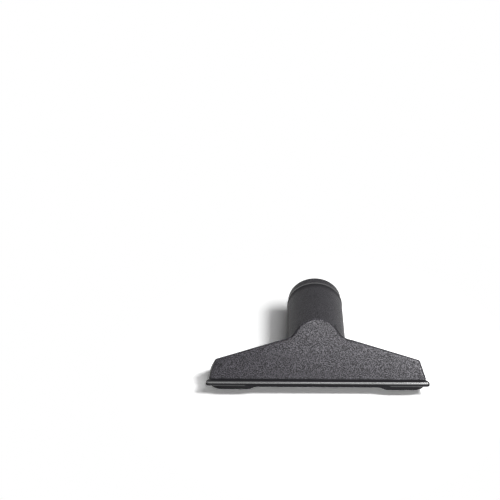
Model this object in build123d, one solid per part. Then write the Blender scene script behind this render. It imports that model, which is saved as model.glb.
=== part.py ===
"""Vacuum upholstery nozzle: one hollow moulding with a wide mouth and a round socket tube.

The mouth is drawn flat in its own frame: X runs along the mouth, Y from its front lip to its rear
lip, and Z away from the fabric, with the pads' soles at Z = 0. It is then tipped back by MOUTH_TILT,
so that the finished part lies on its rear lip and its tube, with the tube's axis level along Y.
"""
import os
from math import cos, radians, sin, tan

from build123d import *

# Socket tube, along its own axis from the open end
SOCKET_R = 16.0          # bore that takes the pipe
SOCKET_DEPTH = 36.0      # open end to the pipe stop
SOCKET_LEAD = 0.9        # chamfer that guides the pipe in
TUBE_WALL = 2.2          # wall round the socket, next to the end collar
TUBE_DRAFT = 0.25        # degrees, the tube grows towards the body
COLLAR_LEN = 6.5         # turned-down collar at the open end
COLLAR_STEP = 0.6        # collar's drop in radius
BEAD_LEN = 0.8           # flat top of the bead in front of the collar's step
BEAD_OUT = 0.2           # bead's height over the tube
STOP_STEP = 0.9          # pipe stop's height inside the bore
TUBE_REACH = 57.0        # rear lip's sole to the open end
EDGE_R = 0.5             # rounding of the collar's rim and of the bead's back

# Mouth skirt and rim, in the mouth's frame
MOUTH_LEN = 132.0
MOUTH_DEPTH = 24.0
MOUTH_CORNER_R = 8.0
MOUTH_TILT = 15.0        # degrees between the mouth's plane and the tube
WALL = 2.0               # skirt, rim and body wall
SKIRT_H = 2.5            # skirt below the rim
RIM_T = 3.2              # rim's thickness
RIM_OUT = 1.2            # rim beyond the skirt, front and rear
RIM_TOP_R = 1.4          # rounding of the rim's upper edges
RIM_BOTTOM_R = 0.8       # rounding of the rim's lower edges
EAR_OUT = 3.0            # front lip's ears beyond the body's ends
EAR_DEPTH = 5.5          # ear's length along the body's end
EAR_TIP_R = 1.8
REAR_TIP_R = 3.0         # rear lip's corners

# Air reliefs, sunk into the front lip from below, between its end pads
RIM_RELIEF_LEN = 88.0
RIM_RELIEF_H = 1.6
RIM_RELIEF_RAMP = 2.0    # length of each S-shaped run-out
SKIRT_RELIEF_LEN = 80.0
SKIRT_RELIEF_H = 1.7
SKIRT_RELIEF_RAMP = 8.0

# Wedge body, above the rim's top
FOOT_OUT = 0.9           # foot of each end wall beyond the skirt's end
FOOT_SETBACK = 2.8       # front and rear wall feet behind the skirt's faces
FRONT_LEAN = 58.0        # degrees between the front wall and the mouth's plane
REAR_LEAN = 84.0         # degrees between the rear wall and the mouth's plane
END_LEAN = 19.5          # degrees, the ends draw in towards the ridge
RIDGE_MID_H = 26.9       # ridge above the rim at the middle
RIDGE_END_H = 10.8       # ridge above the rim at the ends
HEEL_H = 3.0             # rear wall above the rim at the ends
BLEND_R = 5.0            # hollow between the tube and the wedge's back
CREASE_R = 4.0           # rounding between the roof and the rear wall
CORNER_R = 2.5           # rounding of the ridge's outer corners
RIDGE_R = 2.0            # rounding along the ridge, the ends and the tube's front arch

# Derived sizes
BODY_LEN = MOUTH_LEN + 2 * FOOT_OUT   # along the foot of the front wall
RIM_TOP = SKIRT_H + RIM_T
TUBE_R = SOCKET_R + TUBE_WALL
PASSAGE_R = SOCKET_R - STOP_STEP
RUN = TUBE_REACH + MOUTH_DEPTH + RIDGE_MID_H   # past the front wall, for the tube before it is trimmed
ROOT_R = TUBE_R + (TUBE_REACH - COLLAR_LEN) * tan(radians(TUBE_DRAFT))
OVER = 1.0               # overlap of cutting tools
TOUCH = 0.01             # an edge this near to a plane lies in it
CLEAR = 1.0              # an edge this far from a plane is clear of it


def mouth_to_part():
    """Place the mouth's frame in the part's frame, with the rear lip's sole on the X axis."""
    return Rotation(-MOUTH_TILT, 0, 0) * Location((0, -MOUTH_DEPTH, 0))


def body_planes():
    """Outer planes of the wedge above the rim, named, each with its normal pointing out."""
    lean, rear, end = radians(FRONT_LEAN), radians(REAR_LEAN), radians(END_LEAN)
    half = BODY_LEN / 2
    middle = Vector(0, FOOT_SETBACK + RIDGE_MID_H / tan(lean), RIM_TOP + RIDGE_MID_H)
    corner = middle + Vector(
        half - RIDGE_END_H * tan(end), (RIDGE_END_H - RIDGE_MID_H) / tan(lean), RIDGE_END_H - RIDGE_MID_H
    )
    heel = Vector(corner.X, MOUTH_DEPTH - FOOT_SETBACK, RIM_TOP + HEEL_H)
    roof = (corner - middle).cross(heel - corner)
    return {
        "front": Plane((0, FOOT_SETBACK, RIM_TOP), z_dir=(0, -sin(lean), cos(lean))),
        "rear": Plane((0, MOUTH_DEPTH - FOOT_SETBACK, RIM_TOP), z_dir=(0, sin(rear), cos(rear))),
        "right_end": Plane((half, 0, RIM_TOP), z_dir=(cos(end), 0, sin(end))),
        "left_end": Plane((-half, 0, RIM_TOP), z_dir=(-cos(end), 0, sin(end))),
        "right_roof": Plane(middle, z_dir=(roof.X, roof.Y, roof.Z)),
        "left_roof": Plane(middle, z_dir=(-roof.X, roof.Y, roof.Z)),
    }


def wedge(inset, drop):
    """Wedge above the rim, highest at the middle: the body's outside, or its hollow when inset."""
    tall = RIDGE_MID_H + drop
    block = Pos(0, MOUTH_DEPTH / 2, RIM_TOP - drop) * Box(
        2 * BODY_LEN, 2 * MOUTH_DEPTH + RUN, tall, align=(Align.CENTER, Align.CENTER, Align.MIN)
    )
    for plane in body_planes().values():
        block = split(block, bisect_by=plane.offset(-inset), keep=Keep.BOTTOM)
    return block


def behind_front(solid, inset):
    """Trim a solid to what lies behind the front wall's plane and above the soles."""
    front = body_planes()["front"].offset(-inset)
    solid = split(solid, bisect_by=front, keep=Keep.BOTTOM)
    return split(solid, bisect_by=Plane.XY, keep=Keep.TOP)


def rim_outline():
    """Rim seen from above: the front lip's ears run back into the body's ends, the rear corners are plain."""
    half = BODY_LEN / 2
    tip = half + EAR_OUT
    front = -RIM_OUT
    rear = MOUTH_DEPTH + RIM_OUT
    corners = [
        (tip, front), (half, front + EAR_DEPTH), (half, rear),
        (-half, rear), (-half, front + EAR_DEPTH), (-tip, front),
    ]
    face = make_face(Polyline(corners, close=True))
    face = fillet(face.vertices().group_by(Axis.Y)[-1], REAR_TIP_R)
    return fillet(face.vertices().group_by(Axis.Y)[0], EAR_TIP_R)


def rim():
    """Rim with its front edge, ears and rear edge rounded, more above than below."""
    plate = Pos(0, 0, SKIRT_H) * extrude(rim_outline(), RIM_T)
    for side, radius in ((-1, RIM_TOP_R), (0, RIM_BOTTOM_R)):
        face = plate.faces().filter_by(Axis.Z).sort_by(Axis.Z)[side]
        edges = [e for e in face.edges() if e.center().Y < EAR_DEPTH or e.length > MOUTH_LEN / 2]
        plate = fillet(edges, radius)
    return plate


def skirt(inset, bottom, top):
    """Rounded skirt round the mouth, or the hollow inside it when it is inset."""
    plan = RectangleRounded(MOUTH_LEN - 2 * inset, MOUTH_DEPTH - 2 * inset, MOUTH_CORNER_R - inset)
    return Pos(0, MOUTH_DEPTH / 2, bottom) * extrude(plan, top - bottom)


def relief(length, ramp, sole, rise, y_from, y_to):
    """Tool for a shallow air relief under the sole, with an S-shaped run-out at each end."""
    outer = (length + ramp) / 2
    inner = (length - ramp) / 2
    mid = length / 2
    low = sole - OVER
    top = sole + rise
    left = Bezier((-outer, 0, sole), (-mid, 0, sole), (-mid, 0, top), (-inner, 0, top))
    right = Bezier((inner, 0, top), (mid, 0, top), (mid, 0, sole), (outer, 0, sole))
    sides = Polyline((outer, 0, sole), (outer, 0, low), (-outer, 0, low), (-outer, 0, sole))
    face = make_face([left, Line(left @ 1, right @ 0), right, sides])
    return Pos(0, y_from, 0) * extrude(face, amount=y_to - y_from, dir=(0, 1, 0))


def reliefs():
    """Air reliefs in the front lip: through the skirt, and a little longer under the rim."""
    start = -RIM_OUT - OVER
    through_skirt = relief(SKIRT_RELIEF_LEN, SKIRT_RELIEF_RAMP, 0, SKIRT_RELIEF_H, start, MOUTH_DEPTH / 2)
    under_rim = relief(RIM_RELIEF_LEN, RIM_RELIEF_RAMP, SKIRT_H, RIM_RELIEF_H, start, 0)
    return through_skirt, under_rim


def turned(profile):
    """Turn a (radius, distance from the open end) profile round the tube's axis, in the mouth's frame."""
    seam_below = Rotation(0, 90, 0)
    return mouth_to_part().inverse() * Pos(0, TUBE_REACH, ROOT_R) * seam_below * revolve(profile, Axis.Y)


def tube_outside():
    """Drafted tube with its collar at the open end and a bead before it, run on to beyond the front wall."""
    draft = tan(radians(TUBE_DRAFT))
    collar_r = TUBE_R - COLLAR_STEP
    bead_r = TUBE_R + BEAD_OUT
    bead_front = COLLAR_LEN + BEAD_LEN
    points = [
        (0, 0), (collar_r, 0), (collar_r, -COLLAR_LEN), (bead_r, -COLLAR_LEN), (bead_r, -bead_front),
        (TUBE_R + (BEAD_LEN + BEAD_OUT) * draft, -bead_front - BEAD_OUT),
        (TUBE_R + (RUN - COLLAR_LEN) * draft, -RUN), (0, -RUN),
    ]
    face = make_face(Polyline(points, close=True))
    rim_corner = face.vertices().group_by(Axis.Y)[-1].sort_by(Axis.X)[-1]
    step_corner = face.vertices().sort_by_distance((bead_r, -COLLAR_LEN))[0]
    return turned(fillet([rim_corner, step_corner], EDGE_R))


def tube_hollow():
    """Socket bore with its lead-in, the pipe stop, and the air passage on towards the mouth."""
    lead_r = SOCKET_R + SOCKET_LEAD
    points = [
        (0, OVER), (lead_r, OVER), (lead_r, 0), (SOCKET_R, -SOCKET_LEAD), (SOCKET_R, -SOCKET_DEPTH),
        (PASSAGE_R, -SOCKET_DEPTH - STOP_STEP), (PASSAGE_R, -RUN), (0, -RUN),
    ]
    return turned(make_face(Polyline(points, close=True)))


def meets(edge, plane):
    """Tell whether an edge lies in a plane of the wedge."""
    points = [edge.position_at(share) for share in (0, 0.5, 1)]
    return all(abs((point - plane.origin).dot(plane.z_dir)) < TOUCH for point in points)


def shared_edges(solid, first, second):
    """Edges of a solid that lie in both of two named planes of the wedge."""
    planes = body_planes()
    return [e for e in solid.edges() if meets(e, planes[first]) and meets(e, planes[second])]


def rounded_wedge():
    """Outside of the wedge with its hidden creases and its top corners rounded."""
    body = wedge(0, 0)
    for side in ("left", "right"):
        body = fillet(shared_edges(body, side + "_roof", "rear"), CREASE_R)
    for side in ("left", "right"):
        body = fillet(shared_edges(body, side + "_roof", side + "_end"), CORNER_R)
    return body


def trimmed_tube():
    """Tube cut off by the front wall's plane, and by the mouth below the rim's top."""
    mouth = Pos(0, -OVER, RIM_TOP) * Box(
        BODY_LEN, MOUTH_DEPTH / 2 + OVER, RUN, align=(Align.CENTER, Align.MIN, Align.MAX)
    )
    return behind_front(tube_outside(), 0) - mouth


def blend_edges(body):
    """Edges where the tube comes out of the wedge's back, above the rim."""
    near = TUBE_R + TUBE_WALL
    found = []
    for e in body.edges():
        c = e.center()
        runs_down = abs(e.position_at(1).Z - e.position_at(0).Z) > CLEAR
        if runs_down and CLEAR < abs(c.X) < near and c.Z > RIM_TOP + CLEAR:
            found.append(e)
    return found


def outside():
    """Outer form of tube and wedge above the rim: blended behind, rounded along the ridge and arch."""
    body = rounded_wedge() + trimmed_tube()
    body = fillet(blend_edges(body), BLEND_R)
    front = body_planes()["front"]
    outline = [e for e in body.edges() if meets(e, front) and e.center().Z > RIM_TOP + CLEAR]
    return fillet(outline, RIDGE_R)


def hollow():
    """Air space: skirt, wedge, passage and socket, open at the mouth and at the tube's end."""
    return skirt(WALL, -OVER, RIM_TOP - WALL), wedge(WALL, WALL), behind_front(tube_hollow(), WALL)


def nozzle():
    """Whole moulding, lying on its rear lip and its tube."""
    solid = outside() + rim() + skirt(0, 0, RIM_TOP)
    for tool in hollow() + reliefs():
        solid = solid - tool
    placed = mouth_to_part() * solid
    middle = placed.bounding_box().center()
    return Pos(0, -middle.Y, 0) * placed


if __name__ == "__main__":
    os.makedirs("parts", exist_ok=True)
    export_step(nozzle(), "parts/upholstery_nozzle.step")
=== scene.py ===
"""A vacuum upholstery nozzle on a white table: one charcoal moulding, grained head and satin neck."""

import logging
import math
from dataclasses import dataclass, field
from enum import Enum
from typing import Any

import bmesh
import bpy
from mathutils import Matrix, Vector


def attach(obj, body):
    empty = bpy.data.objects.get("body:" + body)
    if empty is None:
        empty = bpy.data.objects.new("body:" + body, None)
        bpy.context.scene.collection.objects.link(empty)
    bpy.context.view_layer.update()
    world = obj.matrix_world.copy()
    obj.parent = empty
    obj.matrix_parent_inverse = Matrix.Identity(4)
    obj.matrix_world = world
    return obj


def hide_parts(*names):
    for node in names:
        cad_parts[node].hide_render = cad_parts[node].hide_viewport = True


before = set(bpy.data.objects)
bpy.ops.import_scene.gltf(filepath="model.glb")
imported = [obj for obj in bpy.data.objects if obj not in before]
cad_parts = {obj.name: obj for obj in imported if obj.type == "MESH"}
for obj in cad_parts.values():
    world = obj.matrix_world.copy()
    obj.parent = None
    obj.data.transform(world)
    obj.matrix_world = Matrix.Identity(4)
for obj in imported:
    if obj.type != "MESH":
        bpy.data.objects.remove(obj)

log = logging.getLogger("upholstery_nozzle")
MM = 0.001

Colour = tuple[float, float, float, float]
Triple = tuple[float, float, float]
Pair = tuple[float, float]
WHITE: Colour = (1.0, 1.0, 1.0, 1.0)


class Zone(Enum):
    """A part of the moulding that has its own skin."""

    HEAD = "head"
    NECK = "neck"
    LIP = "lip"


class Quality(Enum):
    """A field of a skin that is laid over the zones."""

    DEPTH = "depth"
    ROUGH = "rough"
    BASE = "base"
    PALE = "pale"
    GLOSS = "gloss"


class Ray(Enum):
    """The kinds of ray that show a thing: directly, in a mirror or through glass."""

    CAMERA = "Is Camera Ray"
    GLOSSY = "Is Glossy Ray"
    TRANSMISSION = "Is Transmission Ray"


class MathOp(Enum):
    """The Math node operations that shader expressions use."""

    ADD = "ADD"
    SUBTRACT = "SUBTRACT"
    MULTIPLY = "MULTIPLY"


class Wire:
    """A value socket that takes part in Python arithmetic."""

    def __init__(self, shader: "Shader", socket: bpy.types.NodeSocket) -> None:
        """Hold the socket and the shader it belongs to.

        Args:
            shader: The shader that new Math nodes go into.
            socket: The output socket that carries the value.
        """
        self.shader = shader
        self.socket = socket

    def _join(self, operation: MathOp, first: "Wire | float", second: "Wire | float") -> "Wire":
        """Add one Math node.

        Args:
            operation: What the node works out.
            first: Its first input.
            second: Its second input.

        Returns:
            The node's result.
        """
        return self.shader.add("ShaderNodeMath", {"operation": operation.value}, {0: first, 1: second})

    def __add__(self, other: "Wire | float") -> "Wire":
        """Return self + other."""
        return self._join(MathOp.ADD, self, other)

    def __radd__(self, other: float) -> "Wire":
        """Return other + self."""
        return self._join(MathOp.ADD, other, self)

    def __sub__(self, other: "Wire | float") -> "Wire":
        """Return self - other."""
        return self._join(MathOp.SUBTRACT, self, other)

    def __rsub__(self, other: float) -> "Wire":
        """Return other - self."""
        return self._join(MathOp.SUBTRACT, other, self)

    def __mul__(self, other: "Wire | float") -> "Wire":
        """Return self * other."""
        return self._join(MathOp.MULTIPLY, self, other)

    def __rmul__(self, other: float) -> "Wire":
        """Return other * self."""
        return self._join(MathOp.MULTIPLY, other, self)

    def between(self, low: float, high: float) -> "Wire":
        """Rise smoothly from 0 at low to 1 at high.

        Args:
            low: Where the result is still 0.
            high: Where the result has reached 1.

        Returns:
            The smooth step.
        """
        settings = {"interpolation_type": "SMOOTHSTEP"}
        sockets = {"Value": self, "From Min": low, "From Max": high}
        return self.shader.add("ShaderNodeMapRange", settings, sockets)


class Shader:
    """One material's or the world's node tree, emptied and wired from code."""

    def __init__(self, owner: bpy.types.ID) -> None:
        """Take over the owner's node tree.

        Args:
            owner: The material or the world.
        """
        owner.use_nodes = True
        self.tree = owner.node_tree
        self.tree.nodes.clear()

    def add(
        self,
        kind: str,
        settings: dict[str, Any] | None = None,
        sockets: dict[str | int, Any] | None = None,
        out: str | int = 0,
    ) -> Wire:
        """Add one node.

        Args:
            kind: The node's type.
            settings: Properties that are set first.
            sockets: Values or links for its inputs, by name or number.
            out: The output that is wanted.

        Returns:
            The wanted output.
        """
        node = self.tree.nodes.new(kind)
        for name, value in (settings or {}).items():
            setattr(node, name, value)
        for name, value in (sockets or {}).items():
            if isinstance(value, Wire):
                self.tree.links.new(value.socket, node.inputs[name])
            else:
                node.inputs[name].default_value = value
        return Wire(self, node.outputs[out])

    def close(self, surface: Wire, kind: str) -> None:
        """Lead a surface to an output node.

        Args:
            surface: The last shader.
            kind: The output node's type.
        """
        node = self.tree.nodes.new(kind)
        self.tree.links.new(surface.socket, node.inputs["Surface"])

    def attribute(self, name: str) -> Wire:
        """Return a float that the piece's mesh carries at its points."""
        return self.add("ShaderNodeAttribute", {"attribute_name": name}, out="Fac")

    def object_place(self) -> Wire:
        """Return the Object coordinates."""
        return self.add("ShaderNodeTexCoord", out="Object")

    def ray(self, kind: Ray) -> Wire:
        """Return 1 for rays of one kind and 0 for others."""
        return self.add("ShaderNodeLightPath", out=kind.value)

    def shown(self) -> Wire:
        """Return 1 for the rays that show a thing and 0 for those that only light it."""
        return self.ray(Ray.CAMERA) + self.ray(Ray.GLOSSY) + self.ray(Ray.TRANSMISSION)

    def measure(self, operation: str, first: Wire, second: Triple) -> Wire:
        """Return the number that a Vector Math node works out."""
        sockets = {0: first, 1: second}
        return self.add("ShaderNodeVectorMath", {"operation": operation}, sockets, out="Value")

    def along(self, place: Wire, direction: Triple) -> Wire:
        """Return how far a place lies along a direction, in metres."""
        return self.measure("DOT_PRODUCT", place, direction)

    def apart(self, place: Wire, spread: Triple, centre: Triple) -> Wire:
        """Measure the distance from a centre.

        Args:
            place: The coordinates.
            spread: A factor for each axis, 0 to leave an axis out.
            centre: The centre, in metres, already times the factors.

        Returns:
            The distance.
        """
        flat = self.add("ShaderNodeVectorMath", {"operation": "MULTIPLY"}, {0: place, 1: spread})
        return self.measure("DISTANCE", flat, centre)

    def noise(self, place: Wire, pitch: float, detail: float = 2.0, rough: float = 0.5) -> Wire:
        """Add a Noise texture.

        Args:
            place: The coordinates it is read at.
            pitch: The size of its features in metres.
            detail: The number of finer layers.
            rough: How strong the finer layers are.

        Returns:
            The noise, about 0.5 on average.
        """
        sockets = {"Vector": place, "Scale": 1.0 / pitch, "Detail": detail, "Roughness": rough}
        return self.add("ShaderNodeTexNoise", {"noise_dimensions": "3D"}, sockets)

    def blend(self, amount: Wire, first: Any, second: Any) -> Wire:
        """Mix two colours.

        Args:
            amount: 0 gives the first, 1 the second.
            first: A colour or a link.
            second: A colour or a link.

        Returns:
            The mixed colour.
        """
        settings = {"data_type": "RGBA", "clamp_factor": True}
        return self.add("ShaderNodeMix", settings, {0: amount, 6: first, 7: second}, out=2)


@dataclass(frozen=True)
class Skin:
    """How the tool's surface shows on one zone of the moulding.

    Attributes:
        depth: The grain's height in metres.
        rough: The roughness without the grain.
        base: How far the whole zone is lifted from the pits' colour towards the peaks'.
        pale: How far the crumbs of the grain are lifted.
        gloss: How strongly the crumbs glint.
    """

    depth: float
    rough: float
    base: float
    pale: float
    gloss: float


@dataclass(frozen=True)
class MouldedPlastic:
    """Charcoal plastic from the tool: eroded grain on the head, satin on the neck, smooth on the lip,
    with painted shade on the rounded edges.
    """

    pit: Colour = (0.0100, 0.0097, 0.0108, 1.0)
    peak: Colour = (0.064, 0.060, 0.072, 1.0)
    grain_pitch: float = 0.48 * MM
    fine_pitch: float = 0.40 * MM
    blotch_pitch: float = 16.0 * MM
    height_limits: Pair = (0.28, 0.72)
    crumb_limits: Pair = (0.42, 0.68)
    grain_share: float = 0.75
    fine_rough: float = 0.10
    blotch_rough: float = 0.08
    blotch_lift: float = 0.01
    outline_rough: float = 0.62
    outline_matt: Pair = (0.0, 0.35)
    outline_flat: float = 0.8
    specular: float = 0.08
    glint_rough: float = 0.25
    glint_index: float = 2.0
    head: Skin = Skin(depth=0.12 * MM, rough=0.42, base=0.0, pale=1.0, gloss=0.34)
    neck: Skin = Skin(depth=0.07 * MM, rough=0.38, base=0.06, pale=0.40, gloss=0.16)
    lip: Skin = Skin(depth=0.004 * MM, rough=0.30, base=0.03, pale=0.02, gloss=0.0)

    def material(self, name: str, masks: "ZoneMasks") -> bpy.types.Material:
        """Make the material.

        Args:
            name: The material's name.
            masks: Where each zone lies.

        Returns:
            The material. The piece carries an "edge" attribute for its rounded edges, which are painted
            darker as shade.
        """
        material = bpy.data.materials.new(name)
        shader = Shader(material)
        place = shader.object_place()
        share = masks.wires(shader, place)
        # Mask of the rounded edges off the lip: it paints shade on them and makes them rougher, flatter
        # and without glints.
        edge_shade_and_matt = shader.attribute("edge") * (1.0 - share[Zone.LIP])
        polish = masks.polished(shader, place)
        grain, speck = self.grain(shader, place)
        fine = shader.noise(place, self.fine_pitch, detail=1.0)
        blotch = shader.noise(place, self.blotch_pitch, detail=3.0, rough=0.6)
        lift = speck * self.over(share, Quality.PALE) + self.over(share, Quality.BASE)
        # Rounded edges are painted with the pits' dark colour: painted shade that draws dark outlines
        # along them.
        lift = lift * (1.0 - edge_shade_and_matt) + (blotch - 0.5) * self.blotch_lift
        colour = shader.blend(lift, self.pit, self.peak)
        rough = self.over(share, Quality.ROUGH) + (0.5 - fine) * self.fine_rough
        rough = rough + (blotch - 0.5) * self.blotch_rough
        rough = rough * (1.0 - edge_shade_and_matt) + edge_shade_and_matt * self.outline_rough
        height = grain * self.grain_share + fine * (1.0 - self.grain_share)
        height = height * self.over(share, Quality.DEPTH, 1.0 / MM) * (1.0 - edge_shade_and_matt * self.outline_flat)
        normal = shader.add("ShaderNodeBump", sockets={"Strength": 1.0, "Distance": MM, "Height": height})
        matt = edge_shade_and_matt.between(*self.outline_matt)
        coat = speck * self.over(share, Quality.GLOSS) * (1.0 - matt) + polish
        sockets = {
            "Base Color": colour,
            "Roughness": rough,
            "Normal": normal,
            "Specular IOR Level": self.specular,
            "Coat Weight": coat,
            "Coat Roughness": self.glint_rough,
            "Coat IOR": self.glint_index,
        }
        shader.close(shader.add("ShaderNodeBsdfPrincipled", sockets=sockets), "ShaderNodeOutputMaterial")
        return material

    def over(self, share: dict[Zone, Wire], quality: Quality, scale: float = 1.0) -> Wire:
        """Lay one quality of the three skins over their zones.

        Args:
            share: Each zone's mask.
            quality: The skin's field.
            scale: A factor on its value.

        Returns:
            The quality all over the moulding.
        """
        skins = (self.head, self.neck, self.lip)
        head, neck, lip = (getattr(skin, quality.value) * scale for skin in skins)
        return share[Zone.HEAD] * head + share[Zone.NECK] * neck + share[Zone.LIP] * lip

    def grain(self, shader: Shader, place: Wire) -> tuple[Wire, Wire]:
        """Make the eroded grain.

        Args:
            shader: The material's nodes.
            place: The Object coordinates.

        Returns:
            The grain's height, and how pale and glossy each of its crumbs is.
        """
        rise = shader.noise(place, self.grain_pitch, detail=1.0, rough=0.5)
        return rise.between(*self.height_limits), rise.between(*self.crumb_limits)


@dataclass(frozen=True)
class ZoneMasks:
    """The planes, the axis and the bands that part the moulding's zones, in metres."""

    tilt: float = math.radians(15.0)
    lip_top: float = 1.367 * MM
    lip_fade: float = 0.30 * MM
    wall_lean: float = math.radians(43.0)
    wall_level: float = 32.417 * MM
    behind: Pair = (-0.9 * MM, -0.15 * MM)
    axis_height: float = 18.42 * MM
    neck_radius: float = 19.6 * MM
    neck_fade: float = 1.6 * MM
    upper_edge: Pair = (0.33 * MM, 1.13 * MM)
    lower_edge: Pair = (2.55 * MM, 3.15 * MM)
    lower_share: float = 0.7
    pads_from: Pair = (43.5 * MM, 45.0 * MM)
    bead: Pair = (32.72 * MM, 33.34 * MM)
    bead_outside: Pair = (17.0 * MM, 17.6 * MM)
    soft: float = 0.15 * MM

    def above_mouth(self, shader: Shader, place: Wire) -> Wire:
        """Return how far a place lies above the mouth's plane through the origin."""
        return shader.along(place, (0.0, math.sin(self.tilt), math.cos(self.tilt)))

    def from_axis(self, shader: Shader, place: Wire) -> Wire:
        """Return how far a place lies from the neck's axis."""
        return shader.apart(place, (1.0, 0.0, 1.0), (0.0, 0.0, self.axis_height))

    def wires(self, shader: Shader, place: Wire) -> dict[Zone, Wire]:
        """Make a mask for each zone.

        Args:
            shader: The material's nodes.
            place: The Object coordinates.

        Returns:
            The masks, which add up to 1 everywhere.
        """
        height = self.above_mouth(shader, place)
        lip = 1.0 - height.between(self.lip_top, self.lip_top + self.lip_fade)
        wall = shader.along(place, (0.0, -math.sin(self.wall_lean), math.cos(self.wall_lean)))
        before = (wall - self.wall_level).between(*self.behind)
        away = self.from_axis(shader, place)
        outside = away.between(self.neck_radius, self.neck_radius + self.neck_fade)
        neck = (1.0 - before) * (1.0 - outside) * (1.0 - lip)
        return {Zone.HEAD: 1.0 - lip - neck, Zone.NECK: neck, Zone.LIP: lip}

    def polished(self, shader: Shader, place: Wire) -> Wire:
        """Make a mask for the edges that handling has polished.

        Args:
            shader: The material's nodes.
            place: The Object coordinates.

        Returns:
            1 along the lip's upper edge and the neck's bead, less under the pads, and 0 elsewhere.
        """
        below = self.lip_top - self.above_mouth(shader, place)
        upper = self.band(below, self.upper_edge)
        sideways = shader.apart(place, (1.0, 0.0, 0.0), (0.0, 0.0, 0.0))
        lower = self.band(below, self.lower_edge) * sideways.between(*self.pads_from)
        backwards = shader.along(place, (0.0, 1.0, 0.0))
        outside = self.from_axis(shader, place).between(*self.bead_outside)
        bead = self.band(backwards, self.bead) * outside
        return upper + lower * self.lower_share + bead

    def band(self, value: Wire, limits: Pair) -> Wire:
        """Make a band with soft edges.

        Args:
            value: What is measured, in metres.
            limits: Where the band starts and ends.

        Returns:
            1 inside the band and 0 outside it.
        """
        start, end = limits
        begun = value.between(start - self.soft, start + self.soft)
        ended = value.between(end - self.soft, end + self.soft)
        return begun * (1.0 - ended)


@dataclass(frozen=True)
class WhiteTable:
    """Matt white table top, which fades into plain white away from the nozzle."""

    bounce: Colour = (0.80, 0.80, 0.80, 1.0)
    seen: Colour = (1.42, 1.42, 1.42, 1.0)
    matt_to: float = 95.0 * MM
    white_from: float = 132.0 * MM

    def material(self, name: str) -> bpy.types.Material:
        """Make the material.

        Args:
            name: The material's name.

        Returns:
            The material.
        """
        material = bpy.data.materials.new(name)
        shader = Shader(material)
        away = shader.apart(shader.object_place(), (1.0, 1.0, 0.0), (0.0, 0.0, 0.0))
        plain = away.between(self.matt_to, self.white_from) * shader.shown()
        colour = shader.blend(shader.ray(Ray.CAMERA), self.bounce, self.seen)
        matt = shader.add("ShaderNodeBsdfDiffuse", sockets={"Color": colour})
        white = shader.add("ShaderNodeEmission", sockets={"Color": WHITE, "Strength": 1.0})
        both = shader.add("ShaderNodeMixShader", sockets={0: plain, 1: matt, 2: white})
        shader.close(both, "ShaderNodeOutputMaterial")
        return material


@dataclass
class Nozzle:
    """The whole moulding: the wedge-shaped head with its lip, and the neck that takes the tube."""

    node: str = "upholstery_nozzle"
    body: str = "root"
    merge_gap: float = 0.001 * MM
    crease: float = math.radians(48.0)
    round_from: float = math.radians(13.0)
    round_full: float = math.radians(20.0)
    face_weight: int = 100
    finish: MouldedPlastic = field(default_factory=MouldedPlastic)
    masks: ZoneMasks = field(default_factory=ZoneMasks)

    def build(self) -> bpy.types.Object:
        """Make the smooth-shaded piece from a merged copy of the solid.

        Returns:
            The piece, at the origin.
        """
        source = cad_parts[self.node].data
        mesh = bpy.data.meshes.new("nozzle_moulding")
        points = [vert.co for vert in source.vertices]
        faces = [tuple(face.vertices) for face in source.polygons]
        mesh.from_pydata(points, [], faces)
        self.merge(mesh)
        mesh.shade_smooth()
        mesh.set_sharp_from_angle(angle=self.crease)
        piece = bpy.data.objects.new("nozzle_moulding", mesh)
        bpy.context.scene.collection.objects.link(piece)
        return self.even_shading(piece)

    def merge(self, mesh: bpy.types.Mesh) -> None:
        """Join the loose triangles of a mesh into one skin and mark its rounded edges.

        Args:
            mesh: The mesh to change.
        """
        work = bmesh.new()
        work.from_mesh(mesh)
        bmesh.ops.remove_doubles(work, verts=work.verts, dist=self.merge_gap)
        edge = work.verts.layers.float.new("edge")
        for vert in work.verts:
            vert[edge] = self.rounding(vert)
        work.to_mesh(mesh)
        work.free()

    def rounding(self, vert: bmesh.types.BMVert) -> float:
        """Tell how far a point lies on a small rounded edge.

        Args:
            vert: The point of the merged skin.

        Returns:
            1 in the middle of a small rounding, 0 on flat walls, wide curves and sharp corners.
        """
        normals = [face.normal for face in vert.link_faces]
        turn = max(a.angle(b, 0.0) for a in normals for b in normals)
        if turn > self.crease:
            return 0.0
        return min(max((turn - self.round_from) / (self.round_full - self.round_from), 0.0), 1.0)

    def even_shading(self, piece: bpy.types.Object) -> bpy.types.Object:
        """Weight the normals by face, so that flat walls shade flat right up to their rounded edges.

        Args:
            piece: The smooth-shaded piece.

        Returns:
            The same piece with its normals fixed in the mesh.
        """
        weigh = piece.modifiers.new("even_shading", "WEIGHTED_NORMAL")
        weigh.mode = "FACE_AREA"
        weigh.weight = self.face_weight
        weigh.keep_sharp = True
        graph = bpy.context.evaluated_depsgraph_get()
        fixed = bpy.data.meshes.new_from_object(piece.evaluated_get(graph), depsgraph=graph)
        piece.modifiers.clear()
        piece.data = fixed
        return piece

    def dress(self, piece: bpy.types.Object) -> None:
        """Finish the piece and put it in the solid's place.

        Args:
            piece: The piece from build.
        """
        piece.data.materials.clear()
        piece.data.materials.append(self.finish.material("charcoal_moulding", self.masks))
        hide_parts(self.node)
        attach(piece, self.body)


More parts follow.
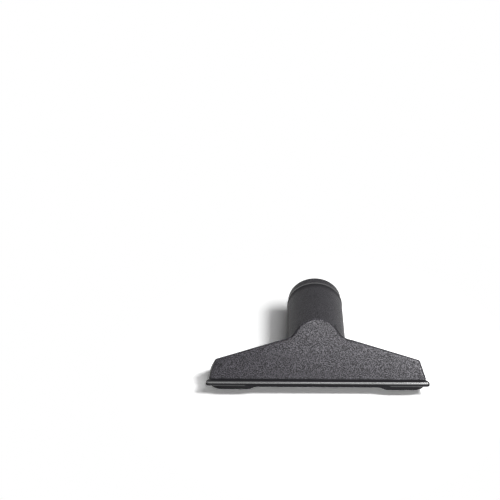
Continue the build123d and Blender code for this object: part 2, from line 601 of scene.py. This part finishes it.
@dataclass
class Table:
    """The white table that the nozzle lies on."""

    reach: float = 6.0
    drop: float = 0.02 * MM
    finish: WhiteTable = field(default_factory=WhiteTable)

    def build(self) -> bpy.types.Object:
        """Make the table top.

        Returns:
            A square sheet just below the nozzle.
        """
        r = self.reach
        mesh = bpy.data.meshes.new("table_top")
        corners = [(-r, -r, -self.drop), (r, -r, -self.drop), (r, r, -self.drop), (-r, r, -self.drop)]
        mesh.from_pydata(corners, [], [(0, 1, 2, 3)])
        table = bpy.data.objects.new("table_top", mesh)
        bpy.context.scene.collection.objects.link(table)
        return table

    def dress(self, table: bpy.types.Object) -> None:
        """Finish the table top."""
        table.data.materials.append(self.finish.material("white_table"))


@dataclass(frozen=True)
class Softbox:
    """A rectangular lamp: its name, place and size in metres, and its power in watts."""

    name: str
    place: Triple
    size: Pair
    power: float


@dataclass
class Studio:
    """A key lamp close by on the right, a strip over the front, a low panel, and white surroundings."""

    key: Softbox = Softbox("key", (0.150, -0.105, 0.250), (0.11, 0.12), 1.10)
    strip: Softbox = Softbox("strip", (0.060, -0.13, 0.26), (0.18, 0.08), 0.30)
    panel: Softbox = Softbox("front_panel", (0.05, -0.62, 0.17), (0.60, 0.24), 2.6)
    surround: float = 0.07
    aim: Triple = (-0.080, 0.0, 0.0)

    def build(self) -> None:
        """Make the lamps and the world."""
        for box in (self.key, self.strip, self.panel):
            self.lamp(box)
        self.world()

    def lamp(self, box: Softbox) -> None:
        """Add a lamp that shines at the nozzle.

        Args:
            box: What the lamp is like and where it stands.
        """
        data = bpy.data.lights.new(box.name, "AREA")
        data.energy = box.power
        data.shape = "RECTANGLE"
        data.size, data.size_y = box.size
        lamp = bpy.data.objects.new(box.name, data)
        place = Vector(box.place)
        back = (place - Vector(self.aim)).normalized()
        side = (Vector((1.0, 0.0, 0.0)) - back * back.x).normalized()
        turn = Matrix((side, back.cross(side), back)).transposed().to_4x4()
        lamp.matrix_world = Matrix.Translation(place) @ turn
        bpy.context.scene.collection.objects.link(lamp)

    def world(self) -> None:
        """Make the surroundings: white where they are shown, and plain fill light elsewhere."""
        world = bpy.data.worlds.new("white_room")
        bpy.context.scene.world = world
        shader = Shader(world)
        strength = shader.shown() * (1.0 - self.surround) + self.surround
        sky = shader.add("ShaderNodeBackground", sockets={"Color": WHITE, "Strength": strength})
        shader.close(sky, "ShaderNodeOutputWorld")


@dataclass(frozen=True)
class Viewpoint:
    """The camera's place, fitted to the outline of the nozzle in a 500 by 500 picture."""

    place: Triple = (-21.64 * MM, -521.19 * MM, 398.56 * MM)
    pitch: float = math.radians(31.236)
    yaw: float = math.radians(2.168)
    roll: float = math.radians(-1.009)
    lens: float = 72.0
    sensor: float = 36.0
    nearest: float = 10.0 * MM

    def build(self) -> bpy.types.Object:
        """Make the camera and look through it.

        Returns:
            The camera.
        """
        data = bpy.data.cameras.new("photo_view")
        data.sensor_fit = "AUTO"
        data.sensor_width = self.sensor
        data.lens = self.lens
        data.clip_start = self.nearest
        camera = bpy.data.objects.new("photo_view", data)
        turn = Matrix.Rotation(self.yaw, 4, "Z") @ Matrix.Rotation(math.pi / 2 - self.pitch, 4, "X")
        turn = turn @ Matrix.Rotation(self.roll, 4, "Z")
        camera.matrix_world = Matrix.Translation(Vector(self.place)) @ turn
        bpy.context.scene.collection.objects.link(camera)
        bpy.context.scene.camera = camera
        return camera


def main() -> None:
    """Build the nozzle, the table, the light and the camera in order."""
    logging.basicConfig(level=logging.INFO, format="%(name)s: %(message)s")
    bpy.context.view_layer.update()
    nozzle = Nozzle()
    piece = nozzle.build()
    nozzle.dress(piece)
    log.info("%s: %d faces", piece.name, len(piece.data.polygons))
    table = Table()
    top = table.build()
    table.dress(top)
    log.info("%s: stage", top.name)
    Studio().build()
    camera = Viewpoint().build()
    log.info("%s: lens %.0f mm", camera.name, camera.data.lens)
    bpy.context.scene.view_settings.view_transform = "Standard"


if __name__ == "__main__":
    main()
